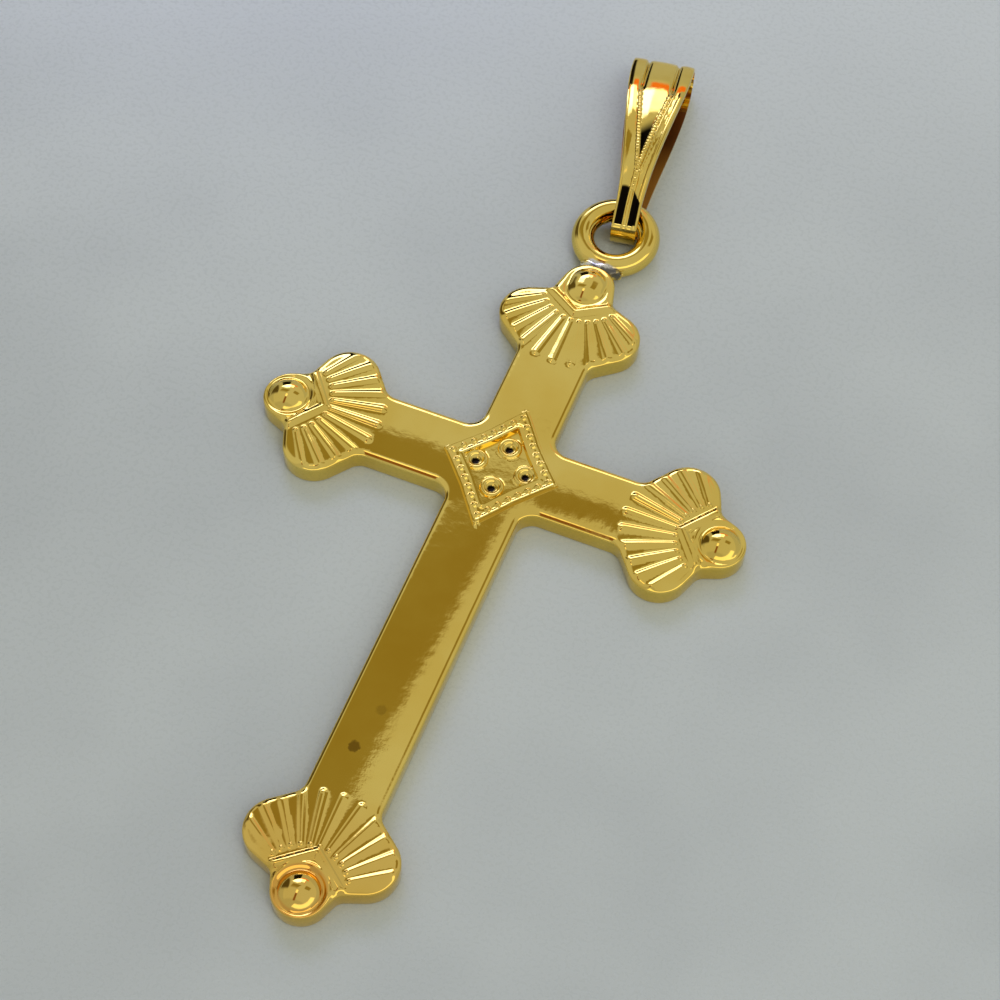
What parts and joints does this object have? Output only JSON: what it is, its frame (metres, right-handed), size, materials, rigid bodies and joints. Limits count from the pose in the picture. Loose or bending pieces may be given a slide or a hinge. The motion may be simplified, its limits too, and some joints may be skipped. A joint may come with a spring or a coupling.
{
  "type": "cross pendant",
  "caption": "Flat cast cross pendant with trefoil ends, raised relief and a beaded medallion, hung from a soldered ring by a folded bail for a chain.",
  "frame": {"origin": "on the flat back, under the middle of the medallion where the arms cross", "axes": "+Z out of the decorated face, +Y along the long axis from the foot to the ring and bail, +X to the right seen from the front"},
  "size_m": [0.0262, 0.0549, 0.0035],
  "materials": {
    "cross_gold": "polished",
    "bail_gold": "polished"
  },
  "bodies": {
    "cross_body": {"cross": "cross_gold"},
    "bail_body": {"bail": "bail_gold"}
  },
  "joints": [
    {"name": "bail_swing", "type": "hinge", "parent": "cross_body", "child": "bail_body", "pos_m": [0.0002, 0.0181, 0.00103], "axis": [1, 0, 0], "range_deg": [0, 120]}
  ]
}
